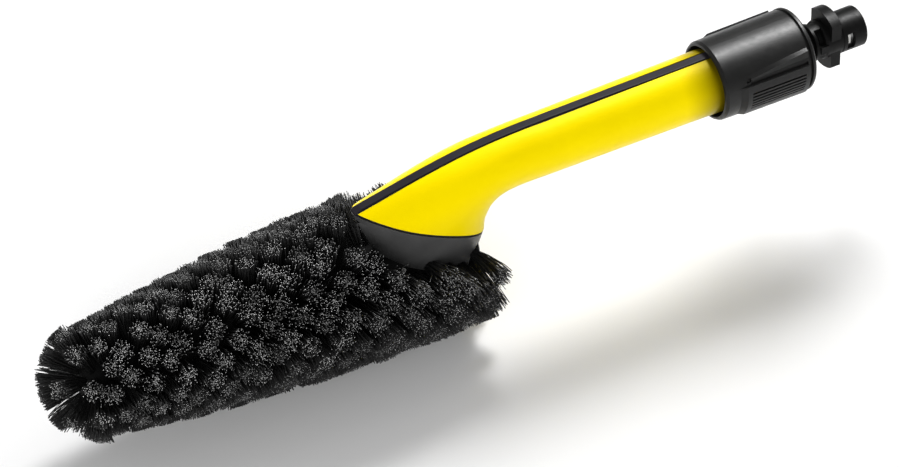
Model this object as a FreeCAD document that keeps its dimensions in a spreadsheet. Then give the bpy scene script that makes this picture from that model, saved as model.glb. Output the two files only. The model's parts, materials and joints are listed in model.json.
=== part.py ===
import FreeCAD, Part
import math
import os
import re
import Sketcher

# A water-fed wheel brush on a short goose-necked handle.
# The row's origin is the centre of the bayonet stem's free end.  +X runs out of
# that end, away from the brush, +Z is the side with the inlaid strip, and the
# plane Y = 0 splits the handle.  All lengths are millimetres, angles degrees.

V = FreeCAD.Vector
doc = FreeCAD.newDocument("wheel_brush")
sheet = doc.addObject("Spreadsheet::Sheet", "sheet")

DIMENSIONS = {
    # bayonet connector, stations counted back from the stem's free end
    "stem_radius": 9.9,
    "stem_edge": 0.5,
    "stem_step": 12.8,
    "stem_back_radius": 9.6,
    "stem_bore": 7.5,
    "stem_bore_depth": 16.0,
    "waterway": 3.4,
    "lug_front": 14.6,
    "lug_back": 19.9,
    "lug_radius": 14.9,
    "lug_half_width": 9.0,
    "window_front": 6.9,
    "window_back": 10.9,
    "window_half_height": 4.3,
    "cage_front": 21.6,
    "cage_back": 26.4,
    "cage_end": 28.0,
    "cage_radius": 9.2,
    "neck_radius": 7.4,
    "flange_front": 43.0,
    "flange_back": 47.0,
    "flange_radius": 13.0,
    "plug_radius": 7.95,
    "plug_end": 70.0,
    # union nut
    "nut_front": 34.5,
    "nut_back": 83.8,
    "nut_front_radius": 20.2,
    "nut_back_radius": 19.4,
    "nut_lip_bore": 7.8,
    "nut_tail_bore": 17.3,
    "nut_cavity": 13.7,
    "nut_shoulder": 40.4,
    "grip_radius": 21.3,
    "grip_count": 2.0,
    "grip_front": 38.7,
    "grip_back": 72.8,
    # thread between the nut and the handle's spigot
    "thread_lead": 4.0,
    "thread_root": 13.4,
    "thread_crest": 15.0,
    "thread_gap": 0.4,
    "thread_front": 56.0,
    "thread_turns": 3.0,
    # handle
    "spigot_front": 52.0,
    "spigot_back": 100.0,
    "spigot_body": 12.6,
    "spigot_collar": 13.2,
    "spigot_bore": 8.05,
    "tube_front": 75.0,
    "tube_front_radius": 15.7,
    "tube_back": 185.0,
    "tube_back_radius": 14.5,
    "wall": 2.6,
    "neck_bend": 12.0,
    "strip_width": 4.2,
    "strip_depth": 1.9,
    "strip_margin": 0.75,
    "strip_base": 0.7,
    "strip_nose": 3.4,
    # water tube
    "hose_radius": 4.4,
    "hose_bore": 3.2,
    "hose_bend": 40.0,
    "hose_bend_angle": 60.0,
    "hose_bend_start": 183.0,
    "hose_tail": 15.0,
    # egg-shaped joint between the handle and the collar
    "rim_rear_x": 205.0,
    "rim_rear_z": -31.0,
    "rim_length": 70.8,
    "rim_tilt": 26.6,
    "rim_half_width": 17.3,
    "gasket": 1.2,
    # brush head
    "core_z": -39.4,
    "core_radius": 13.0,
    "core_tip_radius": 11.0,
    "core_rear": 211.0,
    "core_tip_centre": 396.0,
    "core_channel": 4.0,
    "tuft_pitch": 7.8,
    "tuft_first": 214.5,
    "tuft_columns": 13.0,
    "tuft_rings": 24.0,
    "tuft_root": 1.9,
    "tuft_flare": 4.6,
    "tuft_floor": 8.4,
    "dome_tuft_depth": 3.4,
    "bristle_radius": 40.0,
    "bristle_tip": 425.0,
}
for row, (alias, value) in enumerate(DIMENSIONS.items(), start=1):
    sheet.set("A%d" % row, alias)
    sheet.set("B%d" % row, str(value))
    sheet.setAlias("B%d" % row, alias)
doc.recompute()

sub_parts = []


def cells(text):
    """Turn a formula in plain cell names into one that reads the sheet."""
    return re.sub(r"[a-z][a-z_]*", lambda word: "sheet." + word.group(0), text)


def size(text):
    """The present value of a formula in plain cell names."""
    return float(sheet.evalExpression(cells(text)))


def keep(item, label, placement=None):
    """Name a finished sub-part and put it on the list that is written out."""
    item.Label = label
    if placement is not None:
        item.Placement = placement
    sub_parts.append(item)
    return item


# ---------------------------------------------------------------- PartDesign helpers
def new_body(name):
    return doc.addObject("PartDesign::Body", name)


def origin_plane(body, role):
    for feature in body.Origin.OriginFeatures:
        if feature.Role == role:
            return feature
    raise ValueError(role)


def draw(body, points, plane="XZ_Plane", offset=None, turn=0.0):
    """A closed outline; each point is a pair of formulas bound to the sheet."""
    sketch = body.newObject("Sketcher::SketchObject", body.Name + "_outline")
    sketch.AttachmentSupport = [(origin_plane(body, plane), "")]
    sketch.MapMode = "FlatFace"
    if turn:
        sketch.AttachmentOffset = FreeCAD.Placement(V(), FreeCAD.Rotation(V(1, 0, 0), turn))
    if offset:
        lean = math.radians(turn)
        for axis, share in (("y", -math.sin(lean)), ("z", math.cos(lean))):
            formula = "%.6f * (%s)" % (share, cells(offset))
            sketch.setExpression("AttachmentOffset.Base." + axis, formula)
    spots = [V(size(u), size(v), 0) for u, v in points]
    count = len(spots)
    for index in range(count):
        sketch.addGeometry(Part.LineSegment(spots[index], spots[(index + 1) % count]), False)
    for index in range(count):
        sketch.addConstraint(
            Sketcher.Constraint("Coincident", index, 2, (index + 1) % count, 1)
        )
    for index, (u, v) in enumerate(points):
        for kind, formula in (("DistanceX", u), ("DistanceY", v)):
            number = sketch.addConstraint(
                Sketcher.Constraint(kind, index, 1, size(formula))
            )
            sketch.setExpression("Constraints[%d]" % number, cells(formula))
    return sketch


def turned(body, points, cut=False, angle=360.0, turn=0.0):
    """Revolve an outline about X, or cut it away; a part turn is centred on its plane."""
    sketch = draw(body, points, turn=turn)
    kind = "PartDesign::Groove" if cut else "PartDesign::Revolution"
    feature = body.newObject(kind, body.Name + "_turn")
    feature.Profile = sketch
    feature.ReferenceAxis = (sketch, ["H_Axis"])
    feature.Midplane = angle < 360.0
    feature.Angle = angle
    return feature


def padded(body, sketch, length, cut=False, reverse=False):
    kind = "PartDesign::Pocket" if cut else "PartDesign::Pad"
    feature = body.newObject(kind, body.Name + "_pad")
    feature.Profile = sketch
    feature.setExpression("Length", cells(length))
    feature.Reversed = reverse
    return feature


def repeated(body, features, count):
    """Repeat features evenly about X."""
    pattern = body.newObject("PartDesign::PolarPattern", body.Name + "_pattern")
    pattern.Originals = features
    pattern.Axis = (origin_plane(body, "X_Axis"), [""])
    pattern.Angle = 360
    pattern.Occurrences = count
    body.Tip = pattern
    return pattern


def helical_ridge(body, profile):
    """A trapezoid swept along the screw line; both threads share lead and hand."""
    ridge = body.newObject("PartDesign::AdditiveHelix", body.Name + "_thread")
    ridge.Profile = profile
    ridge.ReferenceAxis = (profile, ["H_Axis"])
    ridge.Mode = 0
    ridge.setExpression("Pitch", cells("thread_lead"))
    ridge.setExpression("Height", cells("thread_lead * thread_turns"))
    return ridge


# ---------------------------------------------------------------- bayonet connector
def bayonet_connector():
    """Stem with a latch window, two-winged lug plate, ribbed neck, flange and plug."""
    body = new_body("bayonet_connector")
    turned(body, [
        ("0", "stem_bore"),
        ("0", "stem_radius - stem_edge"),
        ("-stem_edge", "stem_radius"),
        ("-stem_step", "stem_radius"),
        ("-stem_step - 0.2", "stem_back_radius"),
        ("-cage_front", "stem_back_radius"),
        ("-cage_front - 0.6", "cage_radius"),
        ("-cage_end + 0.4", "cage_radius"),
        ("-cage_end", "cage_radius - 0.4"),
        ("-cage_end", "neck_radius"),
        ("-flange_front", "neck_radius"),
        ("-flange_front", "flange_radius"),
        ("-flange_back", "flange_radius"),
        ("-flange_back", "plug_radius"),
        ("-flange_back - 11.7", "plug_radius"),
        ("-flange_back - 11.7", "plug_radius - 1.6"),
        ("-flange_back - 14.3", "plug_radius - 1.6"),
        ("-flange_back - 14.3", "plug_radius"),
        ("-plug_end + 0.8", "plug_radius"),
        ("-plug_end", "plug_radius - 0.8"),
        ("-plug_end", "waterway"),
        ("-stem_bore_depth", "waterway"),
        ("-stem_bore_depth", "stem_bore"),
    ])
    # lug plate: a disc with two flat sides
    sketch = body.newObject("Sketcher::SketchObject", "lug_outline")
    sketch.AttachmentSupport = [(origin_plane(body, "YZ_Plane"), "")]
    sketch.MapMode = "FlatFace"
    sketch.setExpression("AttachmentOffset.Base.z", cells("-lug_front"))
    half = size("lug_half_width")
    radius = size("lug_radius")
    corner = math.degrees(math.acos(half / radius))
    for start in (corner, 180 + corner):
        arc = Part.ArcOfCircle(
            Part.Circle(V(), V(0, 0, 1), radius),
            math.radians(start),
            math.radians(start + 180 - 2 * corner),
        )
        sketch.addGeometry(arc, False)
    rise = radius * math.sin(math.radians(corner))
    sketch.addGeometry(Part.LineSegment(V(-half, rise, 0), V(-half, -rise, 0)), False)
    sketch.addGeometry(Part.LineSegment(V(half, -rise, 0), V(half, rise, 0)), False)
    joins = ((0, 2, 2, 1), (2, 2, 1, 1), (1, 2, 3, 1), (3, 2, 0, 1))
    for first, first_end, second, second_end in joins:
        sketch.addConstraint(
            Sketcher.Constraint("Coincident", first, first_end, second, second_end)
        )
    for arc_number in (0, 1):
        sketch.addConstraint(Sketcher.Constraint("Coincident", arc_number, 3, -1, 1))
        number = sketch.addConstraint(Sketcher.Constraint("Radius", arc_number, radius))
        sketch.setExpression("Constraints[%d]" % number, cells("lug_radius"))
    for line, side in ((2, "-lug_half_width"), (3, "lug_half_width")):
        sketch.addConstraint(Sketcher.Constraint("Vertical", line))
        number = sketch.addConstraint(
            Sketcher.Constraint("DistanceX", line, 1, size(side))
        )
        sketch.setExpression("Constraints[%d]" % number, cells(side))
    padded(body, sketch, "lug_back - lug_front", reverse=True)
    # the plate's pad fills the waterway, so the bore is cut through it again
    turned(body, [
        ("-lug_front + 2", "0"),
        ("-lug_back - 2", "0"),
        ("-lug_back - 2", "waterway"),
        ("-stem_bore_depth", "waterway"),
        ("-stem_bore_depth", "stem_bore"),
        ("-lug_front + 2", "stem_bore"),
    ], cut=True)
    # latch window in the stem's near wall
    window = draw(body, [
        ("-window_front", "window_half_height"),
        ("-window_back", "window_half_height"),
        ("-window_back", "-window_half_height"),
        ("-window_front", "-window_half_height"),
    ])
    padded(body, window, "stem_radius + 2", cut=True, reverse=True)
    # coring pockets in the neck with a ribbed floor
    floor = "neck_radius - 0.9"
    rib = "neck_radius - 0.3"
    outline = [("-cage_front - 0.8", "cage_radius + 2"), ("-cage_front - 0.8", floor)]
    for station in (1.4, 2.6, 3.8):
        outline += [
            ("-cage_front - %s" % station, floor),
            ("-cage_front - %s" % (station + 0.3), rib),
            ("-cage_front - %s" % (station + 0.6), floor),
        ]
    outline += [("-cage_back", floor), ("-cage_back", "cage_radius + 2")]
    pocket = turned(body, outline, cut=True, angle=54.0, turn=-45.0)
    repeated(body, [pocket], 4)
    # small key block against the back of the lug plate, on both flat sides
    for side in (1, -1):
        block = draw(body, [
            ("-lug_back - 1.6", "2.6"),
            ("-lug_back - 5.8", "2.6"),
            ("-lug_back - 5.8", "-1.2"),
            ("-lug_back - 1.6", "-1.2"),
        ], offset="%d * (cage_radius - 1.4)" % side)
        padded(body, block, "2.0", reverse=side < 0)
    return keep(body, "bayonet_connector")


def inlet_insert():
    """Light bush pressed into the stem's bore around the waterway."""
    body = new_body("inlet_insert")
    turned(body, [
        ("-window_back + 1.6", "waterway"),
        ("-window_back + 1.6", "stem_bore - 1.4"),
        ("-window_back + 0.6", "stem_bore - 0.05"),
        ("-stem_bore_depth + 0.05", "stem_bore - 0.05"),
        ("-stem_bore_depth + 0.05", "waterway"),
    ])
    # latch tab that stands in part of the stem's window
    tab = draw(body, [
        ("-window_back + 0.1", "window_half_height - 0.4"),
        ("-window_back + 0.1", "-window_half_height + 3.2"),
        ("-window_back + 1.7", "-window_half_height + 3.2"),
        ("-window_back + 1.7", "window_half_height - 0.4"),
    ], offset="waterway + 2.2")
    padded(body, tab, "stem_radius - waterway - 3.2")
    return keep(body, "inlet_insert")


def inlet_filter():
    """Thimble strainer standing in the waterway."""
    body = new_body("inlet_filter")
    turned(body, [
        ("-window_back + 2.0", "waterway - 0.7"),
        ("-window_back + 2.0", "waterway + 0.8"),
        ("-window_back + 1.65", "waterway + 0.8"),
        ("-window_back + 1.65", "waterway - 0.1"),
        ("-lug_back - 4", "waterway - 0.1"),
        ("-lug_back - 4", "0"),
        ("-lug_back - 3.4", "0"),
        ("-lug_back - 3.4", "waterway - 0.7"),
    ])
    return keep(body, "inlet_filter")


# ---------------------------------------------------------------- union nut
GRIP_RIBS = 6


def polar(radius, angle):
    """A point of a cross-section; the angle rises from the near side to the top."""
    turn = math.radians(angle)
    return (
        "%.6f * (%s)" % (-math.cos(turn), radius),
        "%.6f * (%s)" % (math.sin(turn), radius),
    )


def union_nut():
    """Grip sleeve that draws the connector's flange onto the handle's spigot."""
    body = new_body("union_nut")
    root = "thread_crest + thread_gap"
    turned(body, [
        ("-nut_front", "nut_lip_bore"),
        ("-nut_front", "nut_front_radius - 1.6"),
        ("-nut_front - 0.5", "nut_front_radius - 0.4"),
        ("-nut_front - 1.3", "nut_front_radius + 0.2"),
        ("-nut_front - 2.4", "nut_front_radius + 0.2"),
        ("-nut_front - 2.6", "nut_front_radius - 1.0"),
        ("-nut_front - 3.8", "nut_front_radius - 1.0"),
        ("-nut_front - 4.0", "nut_front_radius - 0.1"),
        ("-nut_back + 1.6", "nut_back_radius"),
        ("-nut_back + 0.3", "nut_back_radius - 0.8"),
        ("-nut_back", "nut_tail_bore + 0.3"),
        ("-nut_back + 0.4", "nut_tail_bore"),
        ("-tube_front + 1.5", "nut_tail_bore"),
        ("-tube_front + 2.5", root),
        ("-spigot_front - 1.5", root),
        ("-spigot_front - 1", "nut_cavity"),
        ("-nut_shoulder", "nut_cavity"),
        ("-nut_shoulder", "nut_lip_bore"),
    ])
    # internal thread, half a lead out of step with the spigot's thread
    profile = draw(body, [
        ("-thread_front - thread_lead * thread_turns + thread_lead / 2 - 1.1", "thread_crest + 0.6"),
        ("-thread_front - thread_lead * thread_turns + thread_lead / 2 - 0.5", "thread_root + thread_gap"),
        ("-thread_front - thread_lead * thread_turns + thread_lead / 2 + 0.5", "thread_root + thread_gap"),
        ("-thread_front - thread_lead * thread_turns + thread_lead / 2 + 1.1", "thread_crest + 0.6"),
    ])
    helical_ridge(body, profile)
    features = []
    # grip pad: a raised sector that runs out in a bevel towards the handle
    features.append(turned(body, [
        ("-grip_front + 0.3", "nut_back_radius - 1"),
        ("-grip_front - 0.4", "grip_radius"),
        ("-grip_back", "grip_radius - 0.4"),
        ("-grip_back - 4.2", "nut_back_radius - 0.4"),
    ], angle=52.0, turn=101.0))
    # long ribs sunk into the pad's face
    for number in range(GRIP_RIBS):
        features.append(turned(body, [
            ("-grip_front - 3.2", "grip_radius - 0.9"),
            ("-grip_front - 2.2", "grip_radius + 1"),
            ("-grip_back + 2.0", "grip_radius + 1"),
            ("-grip_back + 2.6", "grip_radius - 1.2"),
        ], cut=True, angle=2.6, turn=86.5 + 5.2 * number))
    # crest beside the pad: a three-sided ridge that rises towards the front rim
    wide = draw(body, [
        polar("nut_front_radius - 0.4", 40),
        polar("grip_radius - 0.1", 34),
        polar("nut_front_radius - 0.4", 21),
    ], plane="YZ_Plane", offset="-grip_front")
    narrow = draw(body, [
        polar("nut_back_radius - 0.1", 37),
        polar("nut_back_radius + 0.6", 24),
        polar("nut_back_radius - 0.1", 18.5),
    ], plane="YZ_Plane", offset="-grip_back + 2")
    crest = body.newObject("PartDesign::AdditiveLoft", "union_nut_crest")
    crest.Profile = wide
    crest.Sections = [narrow]
    crest.Ruled = True
    features.append(crest)
    # channel between the crest and the pad, and a small notch where they meet
    features.append(turned(body, [
        ("-grip_front - 0.6", "nut_front_radius - 1.1"),
        ("-grip_front - 0.6", "grip_radius + 2"),
        ("-grip_back + 1.4", "grip_radius + 2"),
        ("-grip_back + 2.6", "nut_back_radius - 0.5"),
    ], cut=True, angle=4.4, turn=71.8))
    features.append(turned(body, [
        ("-grip_back + 2.8", "nut_back_radius + 4"),
        ("-grip_back + 2.8", "nut_back_radius - 0.8"),
        ("-grip_back + 0.4", "nut_back_radius - 0.8"),
        ("-grip_back + 0.4", "nut_back_radius + 4"),
    ], cut=True, angle=6.0, turn=67.2))
    repeated(body, features, int(size("grip_count")))
    return keep(body, "union_nut")


def slip_ring():
    """Thrust washer between the nut's shoulder and the connector's flange."""
    body = new_body("slip_ring")
    turned(body, [
        ("-nut_shoulder - 0.1", "neck_radius + 0.3"),
        ("-nut_shoulder - 0.1", "flange_radius"),
        ("-flange_front + 0.2", "flange_radius"),
        ("-flange_front + 0.2", "neck_radius + 0.3"),
    ])
    return keep(body, "slip_ring")


# ---------------------------------------------------------------- spigot and seals
def threaded_spigot():
    """Bush held in the handle's mouth: outer thread, plug socket and hose socket."""
    body = new_body("threaded_spigot")
    turned(body, [
        ("-spigot_front", "spigot_bore + 0.5"),
        ("-spigot_front", "thread_root - 1"),
        ("-spigot_front - 1", "thread_root - 0.6"),
        ("-thread_front + 1", "thread_root - 0.6"),
        ("-thread_front + 0.4", "thread_root"),
        ("-tube_front + 2.2", "thread_root"),
        ("-tube_front + 2.2", "thread_crest"),
        ("-tube_front + 0.1", "thread_crest"),
        ("-tube_front + 0.1", "spigot_body"),
        ("-tube_front - 13.7", "spigot_body"),
        ("-tube_front - 13.7", "spigot_collar"),
        ("-tube_front - 17.3", "spigot_collar"),
        ("-tube_front - 17.3", "spigot_body"),
        ("-spigot_back", "spigot_body"),
        ("-spigot_back", "hose_radius + 0.1"),
        ("-spigot_back + 6", "hose_radius + 0.1"),
        ("-spigot_back + 6", "hose_radius + 1.2"),
        ("-spigot_back + 8.2", "hose_radius + 1.2"),
        ("-spigot_back + 8.2", "hose_radius + 0.1"),
        ("-spigot_back + 20", "hose_radius + 0.1"),
        ("-spigot_back + 20", "hose_bore"),
        ("-tube_front", "hose_bore"),
        ("-tube_front", "spigot_bore"),
        ("-spigot_front - 0.5", "spigot_bore"),
    ])
    profile = draw(body, [
        ("-thread_front - thread_lead * thread_turns - 1.1", "thread_root - 0.2"),
        ("-thread_front - thread_lead * thread_turns - 0.5", "thread_crest"),
        ("-thread_front - thread_lead * thread_turns + 0.5", "thread_crest"),
        ("-thread_front - thread_lead * thread_turns + 1.1", "thread_root - 0.2"),
    ])
    helical_ridge(body, profile)
    return keep(body, "threaded_spigot")


def seal(label, ring, section, spot, direction=V(1, 0, 0)):
    """O-ring of the given mean radius and section radius."""
    torus = doc.addObject("Part::Torus", label)
    torus.setExpression("Radius1", cells(ring))
    torus.setExpression("Radius2", cells(section))
    turn = FreeCAD.Rotation(V(0, 0, 1), direction)
    return keep(torus, label, FreeCAD.Placement(spot, turn))


# ---------------------------------------------------------------- handle outlines
RIM_TILT = math.radians(size("rim_tilt"))
RIM_FORWARD = V(-math.cos(RIM_TILT), 0, math.sin(RIM_TILT))
RIM_UP = V(math.sin(RIM_TILT), 0, math.cos(RIM_TILT))
RIM_REAR = V(-size("rim_rear_x"), 0, size("rim_rear_z"))


def egg_factor(share):
    """Width of the rim's egg against an ellipse, from its pointed front to its back."""
    return 0.585 + 2.03 * share - 3.84 * share ** 2 + 2.69 * share ** 3


def section_wire(front, rear, half_width, egg):
    """Closed smooth outline across the plane Y = 0 between two points of it.

    egg = 0 gives an ellipse, egg = 1 the pointed egg of the collar's rim.
    """
    count = 24
    chord = rear - front
    spots = []
    for step in range(count):
        angle = 2 * math.pi * step / count
        share = (1 - math.cos(angle)) / 2
        factor = 1 - egg + egg * egg_factor(share)
        spots.append(front + chord * share + V(0, half_width * math.sin(angle) * factor, 0))
    curve = Part.BSplineCurve()
    curve.interpolate(spots, PeriodicFlag=True)
    return Part.Wire([curve.toShape()])


def tube_radius(station):
    """Outer radius of the handle's tapered tube."""
    share = (station - size("tube_front")) / (size("tube_back") - size("tube_front"))
    return size("tube_front_radius") * (1 - share) + size("tube_back_radius") * share


def tube_wire(station, inset):
    radius = tube_radius(station) - inset
    return section_wire(V(-station, 0, radius), V(-station, 0, -radius), radius, 0)


def crown_points():
    """The handle's crown from its mouth to the pointed front of the rim."""
    tip = RIM_REAR + RIM_FORWARD * size("rim_length") + RIM_UP * size("gasket")
    return [
        V(-75, 0, tube_radius(75)),
        V(-130, 0, tube_radius(130)),
        V(-180, 0, 14.7),
        V(-206, 0, 13.1),
        V(-231, 0, 9.3),
        V(-251, 0, 5.3),
        tip,
    ]


def crown_curve(lift):
    """The crown's smooth line, moved along its own normal by lift."""
    curve = Part.BSplineCurve()
    curve.interpolate(crown_points())
    if not lift:
        return curve
    moved = []
    first, last = curve.FirstParameter, curve.LastParameter
    for step in range(13):
        place = first + (last - first) * step / 12
        along = curve.tangent(place)[0]
        moved.append(curve.value(place) + V(along.z, 0, -along.x) * lift)
    lifted = Part.BSplineCurve()
    lifted.interpolate(moved)
    return lifted


def throat_line(rear):
    """The handle's underside: tube, concave bend and the back of the neck."""
    bend = size("neck_bend")
    low = -size("tube_back_radius")
    wall_x = rear.x + 0.3
    centre = V(wall_x + bend, 0, low - bend)
    middle = centre + V(-bend, 0, bend) * math.sqrt(0.5)
    level = Part.LineSegment(V(-150, 0, low), V(centre.x, 0, low))
    curve = Part.Arc(V(centre.x, 0, low), middle, V(wall_x, 0, centre.z))
    back = Part.LineSegment(V(wall_x, 0, centre.z), rear)
    return Part.Wire([level.toShape(), curve.toShape(), back.toShape()])


def distance_along(pivot, direction, line):
    """How far along a ray from the pivot the profile line is met."""
    ray = Part.LineSegment(pivot, pivot + direction * 150).toShape()
    return line.distToShape(ray)[1][0][0].sub(pivot).Length


def handle_solid(inset):
    """The goose-necked handle, or its hollow when inset by the wall."""
    rear = RIM_REAR + RIM_UP * size("gasket")
    reach = (rear.x + size("tube_back")) / RIM_FORWARD.x
    pivot = rear - RIM_FORWARD * reach
    crown = crown_curve(0).toShape()
    throat = throat_line(rear)
    neck = [tube_wire(station, inset) for station in (165, 175)]
    steps = 5
    last = 180 - size("rim_tilt")
    for step in range(steps + 1):
        blend = step / steps
        angle = math.radians(90 + (last - 90) * blend)
        direction = V(math.cos(angle), 0, math.sin(angle))
        near = distance_along(pivot, direction, throat) if step < steps else reach
        far = distance_along(pivot, direction, crown)
        smooth = blend * blend * (3 - 2 * blend)
        half = size("tube_back_radius") * (1 - smooth) + size("rim_half_width") * smooth
        front = pivot + direction * (far - inset)
        back = pivot + direction * (near + inset)
        neck.append(section_wire(front, back, half - inset, blend ** 3))
    tube = Part.makeLoft([tube_wire(size("tube_front"), inset), neck[0]], True, True)
    foot = Part.makeLoft(neck[-2:], True, True)
    return Part.makeLoft(neck[:-1], True, False).fuse([tube, foot])


def feature(label, shape):
    """A sub-part whose shape is worked out from the sheet's sizes."""
    item = doc.addObject("Part::Feature", label)
    item.Shape = shape
    return keep(item, label, FreeCAD.Placement())


def rod(radius, start, direction, length):
    return Part.makeCylinder(radius, length, start, direction)


def ring(outer_radius, inner_radius, start, direction, length):
    return rod(outer_radius, start, direction, length).cut(
        rod(inner_radius, start, direction, length)
    )


def strip_block(width, top, bottom):
    """A bar of the given width that follows the crown between two heights."""
    upper = crown_curve(top)
    lower = crown_curve(bottom)
    start = Part.LineSegment(lower.StartPoint, upper.StartPoint)
    end = Part.LineSegment(upper.EndPoint, lower.EndPoint)
    outline = Part.Wire([start.toShape(), upper.toShape(), end.toShape(), lower.toShape()])
    face = Part.Face(outline)
    face.translate(V(0, -width / 2, 0))
    return face.extrude(V(0, width, 0))


# ---------------------------------------------------------------- water way
def hose_bend():
    """Start, middle and end of the water tube's bend, and its direction after it."""
    start = V(-size("hose_bend_start"), 0, 0)
    radius = size("hose_bend")
    turn = math.radians(size("hose_bend_angle"))
    centre = start - V(0, 0, radius)
    middle = centre + V(-math.sin(turn / 2), 0, math.cos(turn / 2)) * radius
    end = centre + V(-math.sin(turn), 0, math.cos(turn)) * radius
    return start, middle, end, V(-math.cos(turn), 0, -math.sin(turn))


def hose_path():
    """Centre line of the water tube from its socket in the spigot to the core."""
    bend_start, bend_middle, bend_end, down = hose_bend()
    socket = V(-size("spigot_back") + 19.9, 0, 0)
    return Part.Wire([
        Part.LineSegment(socket, bend_start).toShape(),
        Part.Arc(bend_start, bend_middle, bend_end).toShape(),
        Part.LineSegment(bend_end, bend_end + down * size("hose_tail")).toShape(),
    ])


def swept(path, radius):
    """A round bar along a path that starts towards -X."""
    start = path.OrderedVertexes[0].Point
    circle = Part.Wire([Part.Circle(start, V(-1, 0, 0), radius).toShape()])
    return path.makePipeShell([circle], True, True)


def water_tube():
    path = hose_path()
    hollow = swept(path, size("hose_radius")).cut(swept(path, size("hose_bore")))
    return feature("water_tube", hollow)


# ---------------------------------------------------------------- handle shells
HANDLE_SCREWS = ((-118, -8.2), (-158, -8.0), (-214, 4.6))
SCREW_HEAD_SEAT = 7.5


def collar_screw_place(side):
    """Where a collar screw's axis meets the rim plane."""
    return RIM_REAR + RIM_FORWARD * 26 + V(0, side * 10.6, 0)


def handle_shells():
    """Two moulded halves with screw bosses, a spigot groove and the strip's channel."""
    outer = handle_solid(0)
    inner = handle_solid(size("wall"))
    wall = outer.cut(inner)
    bosses = []
    for x, z in HANDLE_SCREWS:
        bosses.append(rod(3.6, V(x, -20, z), V(0, 1, 0), 40))
    for side in (-1, 1):
        foot = collar_screw_place(side) + RIM_UP * size("gasket")
        bosses.append(rod(3.4, foot, RIM_UP, 13))
        web = foot + V(0, side * 3.6, 0)
        bosses.append(rod(2.2, web, RIM_UP, 13))
    solid = wall.fuse([boss.common(outer) for boss in bosses])
    gap = 0.3
    groove_start = V(-size("tube_front") - 13.7 + gap, 0, 0)
    cuts = [rod(size("spigot_collar") + 0.2, groove_start, V(-1, 0, 0), 3.6 + 2 * gap)]
    margin = size("strip_margin")
    cuts.append(strip_block(size("strip_width") + 2 * margin, 3, -size("strip_depth") - 0.1))
    for x, z in HANDLE_SCREWS:
        cuts.append(rod(1.25, V(x, -7, z), V(0, 1, 0), 7))
        cuts.append(rod(1.6, V(x, 0, z), V(0, 1, 0), 20))
        cuts.append(rod(3.1, V(x, SCREW_HEAD_SEAT, z), V(0, 1, 0), 20))
    for side in (-1, 1):
        foot = collar_screw_place(side)
        cuts.append(rod(1.25, foot, RIM_UP, 11))
    solid = solid.cut(cuts)
    for label, side in (("handle_shell_left", -1), ("handle_shell_right", 1)):
        near = 0 if side > 0 else -60
        half_space = Part.makeBox(300, 60, 120, V(-330, near, -70))
        feature(label, solid.common(half_space))


def below_rim(lift):
    """A block that fills the space under the rim plane raised by lift."""
    block = Part.makeBox(120, 60, 30, V(-60, -30, -30))
    centre = RIM_REAR + RIM_FORWARD * (size("rim_length") / 2) + RIM_UP * lift
    block.Placement = FreeCAD.Placement(centre, FreeCAD.Rotation(V(0, 0, 1), RIM_UP))
    return block


def strip_nose():
    """A block that cuts a steeper facet across the strip's front end."""
    crown = crown_curve(0)
    tip = crown.EndPoint
    top = tip - crown.tangent(crown.LastParameter)[0] * size("strip_nose") + V(0, 0, 0.35)
    slope = (tip - V(0, 0, 0.9) - top).normalize()
    normal = V(slope.z, 0, -slope.x)
    block = Part.makeBox(10, 20, 10, V(-5, -10, 0))
    block.Placement = FreeCAD.Placement(top, FreeCAD.Rotation(slope, V(0, -1, 0), normal, "ZXY"))
    return block


def seam_strip():
    """Dark inlay over the handle's seam: a bar just proud of the crown on a wider base."""
    margin = size("strip_margin") - 0.05
    base = strip_block(
        size("strip_width") + 2 * margin, -size("strip_base"), -size("strip_depth")
    )
    bar = strip_block(size("strip_width"), 0.35, -size("strip_depth"))
    bar = bar.fuse(base.cut(below_rim(size("gasket") + 0.1)))
    mouth = Part.makeBox(20, 20, 60, V(-size("tube_front") - 0.6, -10, -30))
    strip = bar.cut([mouth, below_rim(0.05), strip_nose()])
    edges = [edge for edge in strip.Edges if edge.Length > 150]
    edges.sort(key=lambda edge: -edge.CenterOfMass.z)
    return feature("top_seam_strip", strip.makeFillet(0.3, edges[:2]))


def screw(start, direction, head_radius, head_height, shank_radius, length):
    """Pan-head screw with a cross recess; start is under the head."""
    head = rod(head_radius, start, direction * -1, head_height)
    shank = rod(shank_radius, start - direction * 0.2, direction, length)
    top = start - direction * head_height
    across = direction.cross(V(1, 0.2, 0.3)).normalize()
    recess = []
    for turn in (across, direction.cross(across)):
        bar = Part.makeBox(head_radius * 1.2, 0.7, 1.2, V(-head_radius * 0.6, -0.35, -0.1))
        bar.Placement = FreeCAD.Placement(top, FreeCAD.Rotation(turn, V(), direction, "ZXY"))
        recess.append(bar)
    return head.fuse(shank).cut(recess)


def handle_screws():
    """Screws that close the handle from its far side."""
    screws = []
    for x, z in HANDLE_SCREWS:
        screws.append(screw(V(x, SCREW_HEAD_SEAT + 0.05, z), V(0, -1, 0), 2.9, 2.0, 1.2, 13.5))
    return feature("handle_screws", Part.makeCompound(screws))


# ---------------------------------------------------------------- collar
def rim_wire(inset, lift):
    """The egg-shaped joint line, drawn in by inset and raised off the rim plane."""
    rear = RIM_REAR + RIM_FORWARD * inset + RIM_UP * lift
    front = RIM_REAR + RIM_FORWARD * (size("rim_length") - inset) + RIM_UP * lift
    return section_wire(front, rear, size("rim_half_width") + 0.1 - inset, 1)


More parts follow.
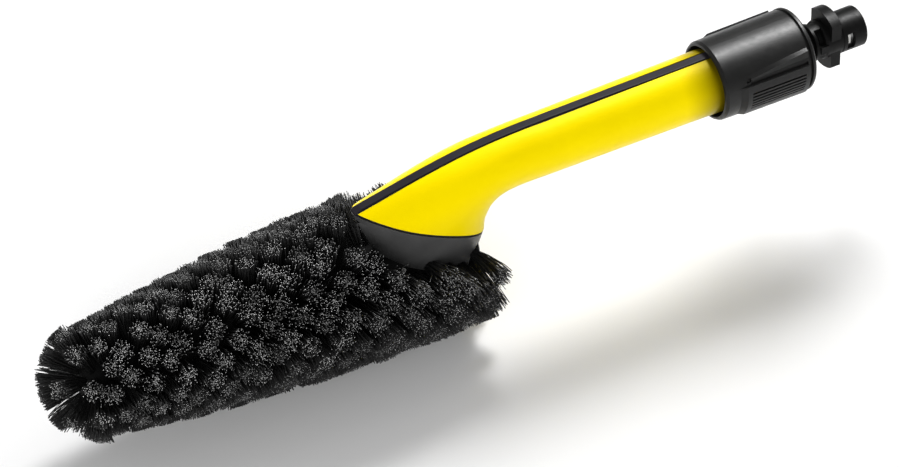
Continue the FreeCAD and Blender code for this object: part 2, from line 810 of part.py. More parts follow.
def collar_gasket():
    """Flat seal between the handle and the collar, set in from their faces."""
    low, high = 0.05, size("gasket") - 0.05
    plate = Part.makeLoft([rim_wire(0.9, low), rim_wire(0.9, high)], True, True)
    hole = Part.makeLoft([rim_wire(3.6, low - 1), rim_wire(3.6, high + 1)], True, True)
    screws = []
    for side in (-1, 1):
        screws.append(rod(1.8, collar_screw_place(side) - RIM_UP, RIM_UP, 4))
    slot = strip_block(size("strip_width") + 0.6, 3, -size("strip_depth") - 0.3)
    parts = plate.cut([hole, slot] + screws).Solids
    return feature("collar_gasket", max(parts, key=lambda part: part.Volume))


COLLAR_WEB = 3.0
COLLAR_REACH = 272.0
COLLAR_LOW_REAR = V(-211.5, 0, -48.0)
COLLAR_LOW_FRONT = V(-258.0, 0, -28.0)
COLLAR_LOW_HALF_WIDTH = 15.0


def neck_collar():
    """Tapered saddle between the handle and the brush core."""
    foot = section_wire(COLLAR_LOW_FRONT, COLLAR_LOW_REAR, COLLAR_LOW_HALF_WIDTH, 1)
    body = Part.makeLoft([rim_wire(0, 0), foot], True, True)
    inner_foot = section_wire(
        COLLAR_LOW_FRONT + V(3.5, 0, -3),
        COLLAR_LOW_REAR + V(-3.2, 0, -1),
        COLLAR_LOW_HALF_WIDTH - 2.6,
        1,
    )
    hollow = Part.makeLoft([rim_wire(2.8, -COLLAR_WEB), inner_foot], True, True)
    centre = V(-size("core_rear") + 0.15, 0, size("core_z"))
    core = rod(size("core_radius") + 0.05, centre, V(-1, 0, 0), 90)
    entry, down = hose_bend()[2:]
    passage = rod(size("hose_radius") + 0.4, entry - down * 8, down, 30)
    cuts = [hollow, core, passage]
    for side in (-1, 1):
        cuts.append(rod(1.6, collar_screw_place(side) - RIM_UP * 8, RIM_UP, 16))
    spot = V(-size("rim_rear_x") + 3, 0, size("core_z"))
    cuts.append(rod(1.7, spot, V(-1, 0, 0), 12))
    cuts.append(rod(3.4, spot, V(-1, 0, 0), 6.2))
    for root, way, length, depth in all_tufts():
        if -root.x < COLLAR_REACH and root.z > size("core_z") - 6:
            cuts.append(placed(tuft_solid(length, depth, 0.25), root, way))
    solid = body.cut(cuts)
    return feature("neck_collar", max(solid.Solids, key=lambda part: part.Volume))


def collar_screws():
    """Screws up through the collar's web into the handle shells."""
    screws = []
    for side in (-1, 1):
        seat = collar_screw_place(side) - RIM_UP * (COLLAR_WEB + 0.05)
        screws.append(screw(seat, RIM_UP, 2.6, 1.8, 1.2, 12))
    return feature("collar_screws", Part.makeCompound(screws))


# ---------------------------------------------------------------- brush head
def core_radius_at(station):
    """The core tapers over its front third to the radius of its domed tip."""
    full = size("core_radius")
    tip = size("core_tip_radius")
    taper_start = size("core_tip_centre") - 66
    share = min(max((station - taper_start) / 66, 0), 1)
    return full + (tip - full) * share


def bristle_envelope(station):
    """Radius that the trimmed bristle ends lie on, seen from the core's axis."""
    beyond = max(station - 233, 0)
    return size("bristle_radius") - 0.00049 * beyond ** 2


def core_point(station, radius, angle):
    """A point at an angle from the top, on a circle about the core's axis."""
    turn = math.radians(angle)
    return V(-station, radius * math.sin(turn), size("core_z") + radius * math.cos(turn))


def outward(angle, tilt):
    """Direction away from the core's axis, leaning towards +X by tilt."""
    turn = math.radians(angle)
    lean = math.radians(tilt)
    return V(
        math.sin(lean), math.cos(lean) * math.sin(turn), math.cos(lean) * math.cos(turn)
    )


RING_LEAN = {22: -4.0, 23: -8.0}
# the rearmost tufts lean back, the more so the nearer they are to the collar
REAR_LEAN = 0.42
REAR_LEAN_END = 111.0


def collar_half_angle(station):
    """Tufts nearer the top than this would stand in the collar."""
    limits = (218, 68), (223, 90), (237, 80), (247, 66), (255, 60), (265, 50), (271, 35)
    for limit, angle in limits:
        if station < limit:
            return angle
    return -1


def ring_tufts(ring_number):
    """(root on the core, direction, free length) of each tuft in a ring."""
    station = size("tuft_first") + size("tuft_pitch") * ring_number
    columns = int(size("tuft_columns"))
    lean = RING_LEAN.get(ring_number, 0.0)
    radius = core_radius_at(station)
    length = bristle_envelope(station) - radius
    stagger = 0.5 * (ring_number % 2)
    tufts = []
    for column in range(columns):
        angle = (column + stagger) * 360 / columns
        from_top = min(angle, 360 - angle)
        if from_top < collar_half_angle(station):
            continue
        if ring_number == 0:
            lean = REAR_LEAN * max(REAR_LEAN_END - from_top, 0)
        spot = core_point(station, radius, angle)
        tufts.append((spot, outward(angle, lean), length, radius - size("tuft_floor")))
    return tufts


def dome_tufts():
    """Tufts of the rounded tip: two staggered rings and one on the axis."""
    centre = V(-size("core_tip_centre"), 0, size("core_z"))
    radius = size("core_tip_radius")
    reach = size("bristle_tip") - size("core_tip_centre") - radius
    depth = size("dome_tuft_depth")
    tufts = []
    for slant, count, first in ((66, 10, 18), (38, 5, 36), (0, 1, 0)):
        for number in range(count):
            direction = outward(first + number * 360 / count, slant - 90)
            tufts.append((centre + direction * radius, direction, reach, depth))
    return tufts


def tuft_solid(length, hole_depth, gap=0.0):
    """A plain flared bundle standing on +Z, rooted below Z = 0; a gap makes it wider."""
    root = size("tuft_root") + gap
    depth = hole_depth - 0.8
    tip = root + size("tuft_flare") * 0.82 * length / 27
    outline = [(0, -depth), (root, -depth), (root, 0.5), (tip, length - 1.2),
               (tip - 1.2, length), (0, length)]
    wire = Part.makePolygon([V(r, 0, z) for r, z in outline] + [V(0, 0, -depth)])
    return Part.Face(wire).revolve(V(), V(0, 0, 1), 360)


def placed(shape, spot, direction):
    """A copy of a shape that stands on +Z, moved to a spot and turned outward."""
    copy = shape.copy()
    copy.Placement = FreeCAD.Placement(spot, FreeCAD.Rotation(V(0, 0, 1), direction))
    return copy


def all_tufts():
    tufts = []
    for ring_number in range(int(size("tuft_rings"))):
        tufts += ring_tufts(ring_number)
    return tufts + dome_tufts()


def tuft_nodes():
    """Two neighbouring rings to a node, and one node for the tip."""
    rings = int(size("tuft_rings"))
    for first in range(0, rings, 2):
        solids = []
        for ring_number in (first, first + 1):
            for spot, way, length, depth in ring_tufts(ring_number):
                solids.append(placed(tuft_solid(length, depth), spot, way))
        feature("bristle_rows_%02d" % (first // 2 + 1), Part.makeCompound(solids))
    solids = []
    for spot, way, length, depth in dome_tufts():
        solids.append(placed(tuft_solid(length, depth), spot, way))
    feature("bristle_tip", Part.makeCompound(solids))


def tuft_anchors():
    """Flat wire staples that hold each folded tuft at the bottom of its hole."""
    staples = []
    for spot, way, length, depth in all_tufts():
        staple = Part.makeBox(3.2, 1.6, 0.35, V(-1.6, -0.8, -depth + 0.3))
        staples.append(placed(staple, spot, way))
    return feature("tuft_anchors", Part.makeCompound(staples))


JET_STATIONS = (4, 8, 12, 16)
JET_ANGLE = 2.25


def jet_places():
    """Spray holes between the tuft rings, low on both sides of the core."""
    places = []
    for ring_number in JET_STATIONS:
        station = size("tuft_first") + size("tuft_pitch") * (ring_number + 0.5)
        step = 360 / size("tuft_columns")
        for column in (JET_ANGLE, size("tuft_columns") - JET_ANGLE, 5.25, 7.75):
            places.append((station, column * step))
    return places


def spray_jets():
    """Small bushes that meter the rinse water out of the core."""
    jets = []
    for station, angle in jet_places():
        radius = core_radius_at(station)
        start = core_point(station, size("core_channel") + 0.6, angle)
        way = outward(angle, 0)
        length = radius - size("core_channel") - 0.8
        jets.append(ring(1.15, 0.5, start, way, length))
    return feature("spray_jets", Part.makeCompound(jets))


def brush_core():
    """Moulded core: waterway, hose socket, drilled tuft holes and jet holes."""
    rear = size("core_rear")
    tip = size("core_tip_centre")
    body = new_body("core_blank")
    turned(body, [
        ("-core_rear", "core_channel"),
        ("-core_rear", "core_radius - 0.8"),
        ("-core_rear - 0.8", "core_radius"),
        ("-core_tip_centre + 66", "core_radius"),
        ("-core_tip_centre", "core_tip_radius"),
        ("-core_tip_centre", "0"),
        ("-core_tip_centre + 8", "0"),
        ("-core_tip_centre + 8", "core_channel"),
    ])
    doc.recompute()
    centre = V(-tip, 0, 0)
    dome = Part.makeSphere(size("core_tip_radius"), centre)
    dome = dome.common(Part.makeBox(30, 60, 60, V(-tip - 30, -30, -30)))
    solid = body.Shape.fuse(dome)
    solid.translate(V(0, 0, size("core_z")))
    entry, down = hose_bend()[2:]
    clearance = 0.1
    tail = size("hose_tail")
    cuts = [
        rod(size("hose_radius") + clearance, entry, down, tail + 0.3),
        rod(size("hose_bore"), entry, down, tail + 8),
        rod(size("hose_radius") + 1.2, entry + down * 9.4, down, 2.2),
    ]
    for spot, way, length, depth in all_tufts():
        cuts.append(rod(size("tuft_root") + 0.1, spot - way * depth, way, depth + 4))
    for station, angle in jet_places():
        start = core_point(station, size("core_channel") - 1, angle)
        cuts.append(rod(1.2, start, outward(angle, 0), 14))
    solid = solid.cut(cuts)
    return feature("brush_core", solid)


def rear_plug():
    """Plug that closes the core's waterway and takes the collar's screw."""
    body = new_body("core_plug")
    turned(body, [
        ("-core_rear - 0.1", "1.25"),
        ("-core_rear - 0.1", "core_channel - 0.05"),
        ("-core_rear - 9", "core_channel - 0.05"),
        ("-core_rear - 9", "0"),
        ("-core_rear - 8", "0"),
        ("-core_rear - 8", "1.25"),
    ])
    return keep(body, "core_plug", FreeCAD.Placement(V(0, 0, size("core_z")), FreeCAD.Rotation()))


def core_screw():
    """Screw through the collar's back wall into the core's plug."""
    seat = V(-size("rim_rear_x") - 3.15, 0, size("core_z"))
    return feature("core_screw", screw(seat, V(-1, 0, 0), 3.1, 1.9, 1.2, 10))


def build():
    bayonet_connector()
    inlet_insert()
    inlet_filter()
    union_nut()
    slip_ring()
    threaded_spigot()
    seal("connector_seal", "plug_radius - 0.75", "0.75", V(-60, 0, 0))
    seal("tube_front_seal", "hose_radius + 0.62", "0.55", V(-size("spigot_back") + 7.1, 0, 0))
    entry, down = hose_bend()[2:]
    seal("tube_rear_seal", "hose_radius + 0.62", "0.55", entry + down * 10.5, down)
    rear_plug()
    doc.recompute()
    water_tube()
    handle_shells()
    seam_strip()
    handle_screws()
    collar_gasket()
    neck_collar()
    collar_screws()
    brush_core()
    core_screw()
    spray_jets()
    tuft_nodes()
    tuft_anchors()
    doc.recompute()


def write():
    """Check every object, then write one STEP file for each sub-part."""
    for item in doc.Objects:
        if {"Invalid", "Error"} & set(item.State):
            raise RuntimeError("%s failed: %s" % (item.Label, item.State))
    for item in sub_parts:
        if item.Shape.isNull() or not item.Shape.isValid() or not item.Shape.Solids:
            raise RuntimeError("bad shape: " + item.Label)
    os.makedirs("parts", exist_ok=True)
    for item in sub_parts:
        item.Shape.exportStep("parts/%s.step" % item.Label)
        print(item.Label, len(item.Shape.Solids), round(item.Shape.Volume, 1))


build()
write()
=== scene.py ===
import json
import math

import bmesh
import bpy
import numpy as np
from mathutils import Matrix, Vector


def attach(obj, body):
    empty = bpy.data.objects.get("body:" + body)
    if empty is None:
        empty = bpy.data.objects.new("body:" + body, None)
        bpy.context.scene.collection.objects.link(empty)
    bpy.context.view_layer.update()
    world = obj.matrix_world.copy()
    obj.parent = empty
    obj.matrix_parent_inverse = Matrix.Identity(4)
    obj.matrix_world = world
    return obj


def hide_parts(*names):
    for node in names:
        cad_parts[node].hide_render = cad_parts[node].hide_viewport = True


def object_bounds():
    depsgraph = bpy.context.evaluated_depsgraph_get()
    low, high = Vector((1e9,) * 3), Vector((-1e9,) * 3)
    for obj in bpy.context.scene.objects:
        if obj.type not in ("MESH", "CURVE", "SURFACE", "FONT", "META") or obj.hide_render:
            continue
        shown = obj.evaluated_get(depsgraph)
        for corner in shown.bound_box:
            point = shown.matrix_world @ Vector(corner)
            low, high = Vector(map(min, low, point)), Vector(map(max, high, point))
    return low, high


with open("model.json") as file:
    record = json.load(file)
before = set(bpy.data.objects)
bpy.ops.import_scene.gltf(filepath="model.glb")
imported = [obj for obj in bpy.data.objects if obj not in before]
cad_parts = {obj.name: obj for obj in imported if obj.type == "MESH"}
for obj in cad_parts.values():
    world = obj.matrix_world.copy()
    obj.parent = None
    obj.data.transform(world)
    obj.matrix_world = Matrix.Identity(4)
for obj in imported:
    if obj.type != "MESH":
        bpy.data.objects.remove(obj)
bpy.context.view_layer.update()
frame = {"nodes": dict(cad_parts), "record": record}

# The looks of a water-fed wheel brush.  The CAD gives every hard part; here the
# hard parts get their finishes and each solid tuft becomes a bundle of filaments.

MM = 0.001
nodes = frame["nodes"]


# ---------------------------------------------------------------- camera
# places in metres, lens and film in millimetres
CAMERA_TARGET = Vector((-220.5, -1.5, -31.6)) * MM
CAMERA_DISTANCE = 1.6
CAMERA_AZIMUTH = math.radians(-26.48)
CAMERA_ELEVATION = math.radians(41.05)
CAMERA_ROLL = math.radians(2.77)
LENS_LENGTH = 140
FILM_WIDTH = 36


def make_camera():
    """A long lens that looks down on the brush from the left of its near side."""
    level = math.cos(CAMERA_ELEVATION)
    back = Vector((
        math.sin(CAMERA_AZIMUTH) * level,
        -math.cos(CAMERA_AZIMUTH) * level,
        math.sin(CAMERA_ELEVATION),
    ))
    right = Vector((math.cos(CAMERA_AZIMUTH), math.sin(CAMERA_AZIMUTH), 0))
    turn = Matrix.Rotation(CAMERA_ROLL, 3, -back)
    right = turn @ right
    up = back.cross(right)
    data = bpy.data.cameras.new("camera")
    data.lens = LENS_LENGTH
    data.sensor_width = FILM_WIDTH
    data.clip_start = 0.05
    data.clip_end = 30
    camera = bpy.data.objects.new("camera", data)
    camera.matrix_world = Matrix.Translation(CAMERA_TARGET + back * CAMERA_DISTANCE) @ (
        Matrix((right, up, back)).transposed().to_4x4()
    )
    bpy.context.scene.collection.objects.link(camera)
    bpy.context.scene.camera = camera


# ---------------------------------------------------------------- materials
class Finish:
    """A material under construction: its node tree and one Principled shader."""

    def __init__(self, name, **constants):
        self.material = bpy.data.materials.new(name)
        self.material.use_nodes = True
        self.tree = self.material.node_tree
        self.shader = self.tree.nodes["Principled BSDF"]
        for socket, value in constants.items():
            self.shader.inputs[socket.replace("_", " ")].default_value = value
        self.place = self.node("ShaderNodeTexCoord").outputs["Object"]

    def node(self, kind, **inputs):
        made = self.tree.nodes.new(kind)
        for socket, value in inputs.items():
            self.feed(made.inputs[socket.replace("_", " ")], value)
        return made

    def feed(self, socket, value):
        if isinstance(value, bpy.types.NodeSocket):
            self.tree.links.new(value, socket)
        else:
            socket.default_value = value

    def noise(self, per_metre, detail=3.0, roughness=0.5):
        grain = self.node("ShaderNodeTexNoise", Scale=per_metre, Detail=detail, Roughness=roughness)
        self.feed(grain.inputs["Vector"], self.place)
        return grain.outputs["Fac"]

    def between(self, factor, low, high, start=0.3, end=0.7):
        """A number that runs from low to high as factor runs from start to end."""
        span = self.node("ShaderNodeMapRange")
        self.feed(span.inputs["Value"], factor)
        for socket, value in zip(("From Min", "From Max", "To Min", "To Max"), (start, end, low, high)):
            span.inputs[socket].default_value = value
        return span.outputs["Result"]

    def blend(self, factor, first, second):
        """A colour between two colours."""
        mix = self.node("ShaderNodeMix")
        mix.data_type = "RGBA"
        self.feed(mix.inputs["Factor"], factor)
        self.feed(mix.inputs[6], first)
        self.feed(mix.inputs[7], second)
        return mix.outputs[2]

    def edges(self, reach):
        """1 on sharp outside edges and 0 away from them."""
        inside = self.node("ShaderNodeAmbientOcclusion", Distance=reach)
        inside.inside = True
        inside.samples = 4
        return self.between(inside.outputs["AO"], 1.0, 0.0, 0.2, 0.75)

    def bump(self, height, depth, normal=None):
        relief = self.node("ShaderNodeBump", Strength=1.0, Distance=depth, Height=height)
        if normal is not None:
            self.feed(relief.inputs["Normal"], normal)
        return relief.outputs["Normal"]


def rgba(red, green, blue):
    return (red, green, blue, 1.0)


# painted shade: the tube's colour darkens towards the nut's mouth, standing in for the nut's shadow,
# from the second bound below up to the first; painted shade also darkens inside corners within
# CORNER_REACH
NUT_SHADE_START = -84 * MM
NUT_SHADE_END = -103 * MM
NUT_SHADE_POWER = 1.3
CORNER_REACH = 8 * MM


def yellow_plastic():
    """Satin moulding with faint flow marks, orange peel, rubbed edges, painted shade in corners and by
    the nut.
    """
    finish = Finish("yellow_plastic", IOR=1.5, Specular_IOR_Level=0.2)
    finish.shader.inputs["Specular Tint"].default_value = rgba(1.0, 0.8, 0.0)
    cloud = finish.noise(22, 4)
    colour = finish.blend(
        finish.between(cloud, 0, 1), rgba(0.96, 0.735, 0.0), rgba(1.0, 0.785, 0.0)
    )
    rubbed = finish.between(finish.edges(0.5 * MM), 0, 0.35, 0, 1)
    colour = finish.blend(rubbed, colour, rgba(1.0, 0.80, 0.03))
    # painted shade: the colour turns dark brown in inside corners, where shade falls
    corner = finish.node("ShaderNodeAmbientOcclusion", Distance=CORNER_REACH)
    corner.samples = 6
    colour = finish.blend(
        finish.between(corner.outputs["AO"], 0.75, 0, 0.35, 0.85), colour, rgba(0.22, 0.15, 0.0)
    )
    # painted shade: the tube turns dark olive towards the nut's mouth, standing in for the nut's shadow
    # on it
    along = finish.node("ShaderNodeSeparateXYZ", Vector=finish.place).outputs["X"]
    nut_shade = finish.between(along, 0, 1, NUT_SHADE_END, NUT_SHADE_START)
    nut_shade = finish.node("ShaderNodeMath", Value=nut_shade)
    nut_shade.operation = "POWER"
    nut_shade.inputs[1].default_value = NUT_SHADE_POWER
    finish.feed(
        finish.shader.inputs["Base Color"],
        finish.blend(nut_shade.outputs["Value"], colour, rgba(0.10, 0.075, 0.0)),
    )
    smear = finish.noise(60, 5, 0.6)
    finish.feed(finish.shader.inputs["Roughness"], finish.between(smear, 0.30, 0.42))
    peel = finish.bump(finish.noise(900, 2), 0.02 * MM)
    finish.feed(finish.shader.inputs["Normal"], finish.bump(finish.noise(5200, 2), 0.006 * MM, peel))
    return finish.material


def grained_plastic(name, dark, light, edge, rough, grain_depth, grain=2600, gloss=0.3):
    """Spark-eroded dark moulding: fine grain, cloudy tone, polished lighter edges."""
    finish = Finish(name, IOR=1.48, Specular_IOR_Level=gloss)
    cloud = finish.noise(45, 5, 0.6)
    colour = finish.blend(finish.between(cloud, 0, 1), rgba(*dark), rgba(*light))
    rubbed = finish.between(finish.edges(0.35 * MM), 0, 0.6, 0, 1)
    finish.feed(finish.shader.inputs["Base Color"], finish.blend(rubbed, colour, rgba(*edge)))
    tone = finish.noise(380, 4, 0.65)
    finish.feed(finish.shader.inputs["Roughness"], finish.between(tone, *rough))
    broad = finish.bump(finish.noise(600, 3), grain_depth * 0.6)
    finish.feed(finish.shader.inputs["Normal"], finish.bump(finish.noise(grain, 2), grain_depth, broad))
    return finish.material


def plain_plastic(name, dark, light, rough):
    finish = Finish(name, IOR=1.48)
    cloud = finish.noise(120, 4)
    finish.feed(
        finish.shader.inputs["Base Color"],
        finish.blend(finish.between(cloud, 0, 1), rgba(*dark), rgba(*light)),
    )
    finish.feed(finish.shader.inputs["Roughness"], finish.between(finish.noise(500), *rough))
    finish.feed(finish.shader.inputs["Normal"], finish.bump(finish.noise(1800), 0.01 * MM))
    return finish.material


def steel():
    finish = Finish("steel", Metallic=1.0)
    stain = finish.noise(300, 4)
    finish.feed(
        finish.shader.inputs["Base Color"],
        finish.blend(finish.between(stain, 0, 1), rgba(0.42, 0.42, 0.43), rgba(0.62, 0.62, 0.63)),
    )
    finish.feed(finish.shader.inputs["Roughness"], finish.between(finish.noise(900), 0.25, 0.45))
    finish.feed(finish.shader.inputs["Normal"], finish.bump(finish.noise(4000), 0.01 * MM))
    return finish.material


def bristle_side():
    """Black nylon: slightly glossy, with filaments of uneven tone."""
    finish = Finish("bristle", IOR=1.53, Specular_IOR_Level=0.35)
    tone = finish.noise(1400, 2)
    finish.feed(
        finish.shader.inputs["Base Color"],
        finish.blend(finish.between(tone, 0, 1), rgba(0.004, 0.004, 0.004), rgba(0.019, 0.019, 0.019)),
    )
    finish.feed(finish.shader.inputs["Roughness"], finish.between(finish.noise(700), 0.32, 0.5))
    finish.feed(finish.shader.inputs["Normal"], finish.bump(finish.noise(5000), 0.01 * MM))
    return finish.material


def bristle_end():
    """Pale, torn cut face of a filament."""
    finish = Finish("bristle_end", IOR=1.5)
    tone = finish.between(finish.noise(2300, 1), 0, 1, 0.45, 0.62)
    patch = finish.between(finish.noise(95, 2), 0.35, 1.0, 0.38, 0.6)
    shade = finish.node("ShaderNodeMath", Value=tone)
    shade.operation = "MULTIPLY"
    finish.feed(shade.inputs[1], patch)
    finish.feed(
        finish.shader.inputs["Base Color"],
        finish.blend(shade.outputs["Value"], rgba(0.008, 0.008, 0.008), rgba(1.0, 1.0, 0.99)),
    )
    finish.feed(finish.shader.inputs["Roughness"], finish.between(finish.noise(2500), 0.5, 0.8))
    finish.feed(finish.shader.inputs["Normal"], finish.bump(finish.noise(9000), 0.02 * MM))
    return finish.material


def make_finishes():
    """One material for each slot of the record, by the slot's name."""
    return {
        "yellow_plastic": yellow_plastic(),
        "strip_plastic": grained_plastic(
            "strip_plastic", (0.012, 0.010, 0.014), (0.019, 0.017, 0.022), (0.05, 0.046, 0.055),
            (0.42, 0.55), 0.008 * MM, gloss=0.22),
        "charcoal_plastic": grained_plastic(
            "charcoal_plastic", (0.004, 0.004, 0.004), (0.009, 0.009, 0.0085), (0.035, 0.035, 0.034),
            (0.36, 0.47), 0.032 * MM, gloss=0.36),
        # painted light: the collar's finish is the charcoal plastic made lighter, so the collar looks
        # lit beside the bristles
        "collar_plastic": grained_plastic(
            "collar_plastic", (0.056, 0.056, 0.056), (0.088, 0.088, 0.088), (0.12, 0.12, 0.12),
            (0.34, 0.48), 0.015 * MM, gloss=0.42),
        "black_plastic": grained_plastic(
            "black_plastic", (0.003, 0.003, 0.003), (0.007, 0.007, 0.007), (0.025, 0.025, 0.025),
            (0.36, 0.48), 0.012 * MM, gloss=0.12),
        "light_plastic": plain_plastic(
            "light_plastic", (0.42, 0.42, 0.40), (0.52, 0.52, 0.50), (0.4, 0.55)),
        "tube_plastic": plain_plastic(
            "tube_plastic", (0.55, 0.55, 0.52), (0.63, 0.63, 0.60), (0.3, 0.45)),
        "rubber": plain_plastic("rubber", (0.006, 0.006, 0.006), (0.012, 0.012, 0.012), (0.65, 0.85)),
        "steel": steel(),
        "bristle": bristle_side(),
    }


def dress_nodes(finishes):
    """Give each CAD node the finish of its slot in the record."""
    for part in frame["record"]["subparts"]:
        mesh = nodes[part["node"]].data
        if not mesh.materials:
            mesh.materials.append(None)
        for index in range(len(mesh.materials)):
            mesh.materials[index] = finishes[part["material_slot"]]


# ---------------------------------------------------------------- bristles
# corners of a CAD tuft closer together than this are one corner
WELD = 0.01 * MM
# corners this near to either end of a tuft lie on that end's face
END_DEPTH = WELD * 5
# a CAD tuft's tip is bevelled by this much
TIP_BEVEL = 1.2 * MM
FILAMENTS = 135
FILAMENT_RADIUS = 0.205 * MM
SIDES = 4
# shares of its length at which a filament has a ring of corners
LEVELS = np.array([0.0, 0.4, 0.75, 1.0])
# filaments stand in a tuft as seeds do in a sunflower, each a little astray
GOLDEN_ANGLE = math.pi * (3 - math.sqrt(5))
ANGLE_NOISE = 0.3
# an arbitrary slant, from which the two directions across a tuft are worked out
SLANT = (0.3, 0.5, 0.8)
# share of a tuft's root that its filaments fill
ROOT_FILL = 0.9
# powers of the share of its length by which a filament flares and sways
FLARE_POWER = 1.1
SWAY_POWER = 1.5
# width of a bundle at its tips over that of the CAD tuft, how it varies from tuft
# to tuft and from filament to filament, and what a tuft that points straight ahead
# adds to it
TIP_SPREAD = 1.08
TIP_SPREAD_RANGE = (0.88, 1.12)
SPREAD_NOISE = 0.09
DOME_SPREAD = 0.14
# how far filaments bow and sway, which share of them strays, and how far
BOW = 0.7 * MM
SWAY = 0.45 * MM
STRAYS = 0.05
STRAY_SWAY = 1.9 * MM
# how far a whole tuft leans at its tips
TUFT_LEAN = 1.15 * MM
# shares of its length that a filament, a stray and a whole tuft are cut short by
TRIM_NOISE = 0.022
STRAY_TRIM = 0.03
TUFT_TRIM = (-0.01, 0.05)
# filaments that spread beyond EDGE are cut shorter by this share of what is beyond
EDGE = 0.9
EDGE_TRIM = 0.05
# share of its backward lean that a tuft beside the collar loses again at its tips
REAR_BEND = 0.62


def islands(mesh):
    """The separate solids of a mesh, each as an array of its corners."""
    shape = bmesh.new()
    shape.from_mesh(mesh)
    bmesh.ops.remove_doubles(shape, verts=shape.verts, dist=WELD)
    seen = set()
    found = []
    for start in shape.verts:
        if start in seen:
            continue
        seen.add(start)
        queue = [start]
        for vertex in queue:
            for edge in vertex.link_edges:
                other = edge.other_vert(vertex)
                if other not in seen:
                    seen.add(other)
                    queue.append(other)
        found.append(np.array([vertex.co for vertex in queue]))
    shape.free()
    return found


def tuft_ends(corners):
    """Root centre, tip centre, root radius and tip radius of a flared tuft."""
    centre = corners.mean(axis=0)
    axis = np.linalg.svd(corners - centre, full_matrices=False)[2][0]
    height = (corners - centre) @ axis
    ends = []
    for flat in (height < height.min() + END_DEPTH, height > height.max() - END_DEPTH):
        middle = corners[flat].mean(axis=0)
        ends.append((np.linalg.norm(corners[flat] - middle, axis=1).max(), middle))
    ends.sort(key=lambda end: end[0])
    (root_radius, root), (tip_radius, tip) = ends
    return root, tip, root_radius, tip_radius + TIP_BEVEL


def filament_lines(ends, count, random):
    """Points along each filament of a tuft, shaped (filament, level, xyz)."""
    root, tip, root_radius, tip_radius = ends
    length = np.linalg.norm(tip - root)
    axis = (tip - root) / length
    across = np.cross(axis, SLANT)
    across /= np.linalg.norm(across)
    sideways = np.cross(axis, across)
    number = np.arange(count)
    reach = np.sqrt((number + 0.5) / count)
    angle = number * GOLDEN_ANGLE + random.uniform(0, 2 * math.pi)
    angle = angle + random.normal(0, ANGLE_NOISE, count)
    flare = TIP_SPREAD * random.uniform(*TIP_SPREAD_RANGE) + DOME_SPREAD * max(0, -axis[0])
    spread = flare * (0.35 * reach + 0.65 * reach ** 2) + random.normal(0, SPREAD_NOISE, count)
    bow = random.normal(0, BOW, (count, 2))
    stray = random.random(count) < STRAYS
    sway = random.normal(0, 1.0, (count, 2)) * np.where(stray, STRAY_SWAY, SWAY)[:, None]
    lean = random.normal(0, TUFT_LEAN, 2)
    trim = 1 - np.abs(random.normal(0, TRIM_NOISE, count)) - np.where(stray, STRAY_TRIM, 0.0)
    trim = trim - random.uniform(*TUFT_TRIM)
    trim = trim - EDGE_TRIM * np.clip(spread - EDGE, 0, None)
    lines = np.zeros((count, len(LEVELS), 3))
    for level, share in enumerate(LEVELS):
        packed = root_radius * ROOT_FILL * reach * (1 - share)
        radius = packed + tip_radius * spread * share ** FLARE_POWER
        drift = sway * share ** SWAY_POWER + lean * share
        u = radius * np.cos(angle) + bow[:, 0] * 4 * share * (1 - share) + drift[:, 0]
        v = radius * np.sin(angle) + bow[:, 1] * 4 * share * (1 - share) + drift[:, 1]
        along = length * share * (1 + (trim - 1) * share)
        lines[:, level] = (
            root + np.outer(along, axis) + np.outer(u, across) + np.outer(v, sideways)
        )
        lines[:, level, 0] -= REAR_BEND * max(0, axis[0]) * length * share ** 2
    return lines, across, sideways


def filament_mesh(name, tufts, random):
    """One mesh of every filament in a set of tufts; cut ends use the second material."""
    points = []
    faces = []
    is_end = []
    levels = len(LEVELS)
    turns = [2 * math.pi * side / SIDES for side in range(SIDES)]
    per_filament = levels * SIDES
    pattern = []
    for level in range(levels - 1):
        for side in range(SIDES):
            low = level * SIDES + side
            low_next = level * SIDES + (side + 1) % SIDES
            pattern.append((low, low_next, low_next + SIDES, low + SIDES))
    pattern.append(tuple(range(per_filament - SIDES, per_filament)))
    pattern = np.array(pattern)
    offset = 0
    for ends in tufts:
        lines, across, sideways = filament_lines(ends, FILAMENTS, random)
        rim = np.array([across * math.cos(turn) + sideways * math.sin(turn) for turn in turns])
        corners = lines[:, :, None, :] + rim[None, None] * FILAMENT_RADIUS
        points.append(corners.reshape(-1, 3))
        starts = offset + np.arange(len(lines)) * per_filament
        faces.append((starts[:, None, None] + pattern[None]).reshape(-1, SIDES))
        is_end.append(np.tile(np.arange(len(pattern)) == len(pattern) - 1, len(lines)))
        offset += len(lines) * per_filament
    mesh = bpy.data.meshes.new(name)
    mesh.from_pydata(np.concatenate(points), [], np.concatenate(faces).tolist())
    mesh.polygons.foreach_set("material_index", np.concatenate(is_end).astype(np.int32))
    smooth = np.logical_not(np.concatenate(is_end))
    mesh.polygons.foreach_set("use_smooth", smooth)
    mesh.update()
    return mesh


def make_bristles(finishes):
    """A filament piece for each CAD node of tufts."""
    random = np.random.default_rng(11)
    end_finish = bristle_end()
    for part in frame["record"]["subparts"]:
        if part["material_slot"] != "bristle":
            continue
        tufts = [tuft_ends(corners) for corners in islands(nodes[part["node"]].data)]
        name = part["node"].replace("bristle", "filaments")
        piece = bpy.data.objects.new(name, filament_mesh(name, tufts, random))
        piece.data.materials.append(finishes["bristle"])
        piece.data.materials.append(end_finish)
        bpy.context.scene.collection.objects.link(piece)
        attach(piece, "handle")
        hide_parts(part["node"])


# ---------------------------------------------------------------- stage
FLOOR_HALF = 4.0
FLOOR_GAP = 0.5 * MM
ROOM_STRENGTH = 0.31
LIGHT_TARGET = (-0.22, 0, -0.03)
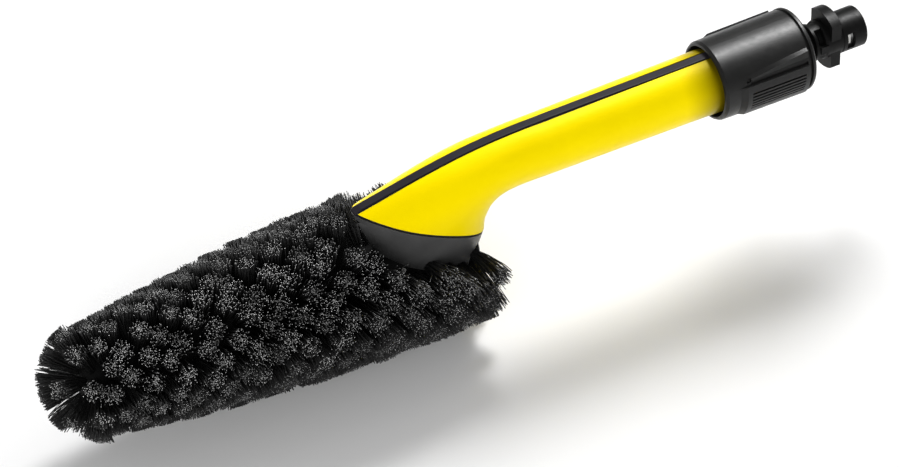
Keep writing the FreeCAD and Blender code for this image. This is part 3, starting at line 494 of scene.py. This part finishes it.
# name, place, size and power of each lamp, and what it leaves out: the key and the
# fill light surfaces without showing in their reflections, and the sheen lamp shows
# in reflections without lighting surfaces
LAMPS = (
    ("key", (0.42, 0.85, 1.0), (0.5, 0.5), 27, "visible_glossy"),
    ("sheen", (0.70, 0.28, 1.26), (0.45, 0.45), 43, "visible_diffuse"),
    ("fill", (-1.3, -1.4, 0.75), (1.2, 1.0), 24, "visible_glossy"),
)


def make_floor():
    """A wide pale floor just under the bristles."""
    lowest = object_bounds()[0].z - FLOOR_GAP
    mesh = bpy.data.meshes.new("floor")
    signs = ((-1, -1), (1, -1), (1, 1), (-1, 1))
    corners = [(x * FLOOR_HALF, y * FLOOR_HALF, lowest) for x, y in signs]
    mesh.from_pydata(corners, [], [(0, 1, 2, 3)])
    finish = Finish("floor")
    paper = finish.noise(3, 2)
    finish.feed(
        finish.shader.inputs["Base Color"],
        finish.blend(finish.between(paper, 0, 1), rgba(0.80, 0.80, 0.80), rgba(0.82, 0.82, 0.82)),
    )
    finish.shader.inputs["Roughness"].default_value = 0.9
    mesh.materials.append(finish.material)
    floor = bpy.data.objects.new("floor", mesh)
    bpy.context.scene.collection.objects.link(floor)


def area_light(name, place, size, power):
    """A rectangular lamp turned to the brush."""
    data = bpy.data.lights.new(name, "AREA")
    data.shape = "RECTANGLE"
    data.size, data.size_y = size
    data.energy = power
    lamp = bpy.data.objects.new(name, data)
    lamp.location = place
    lamp.rotation_mode = "QUATERNION"
    lamp.rotation_quaternion = (Vector(LIGHT_TARGET) - Vector(place)).to_track_quat("-Z", "Y")
    bpy.context.scene.collection.objects.link(lamp)
    return lamp


def make_lights():
    """A pale room and its lamps: behind the brush, high past its handle, on its near side."""
    world = bpy.data.worlds.new("studio")
    world.use_nodes = True
    background = world.node_tree.nodes["Background"]
    background.inputs["Color"].default_value = rgba(1.0, 1.0, 1.0)
    background.inputs["Strength"].default_value = ROOM_STRENGTH
    bpy.context.scene.world = world
    for name, place, size, power, left_out in LAMPS:
        setattr(area_light(name, place, size, power), left_out, False)
    scene = bpy.context.scene
    scene.view_settings.view_transform = "Standard"
    scene.view_settings.look = "None"


make_camera()
finishes = make_finishes()
dress_nodes(finishes)
make_bristles(finishes)
make_floor()
make_lights()
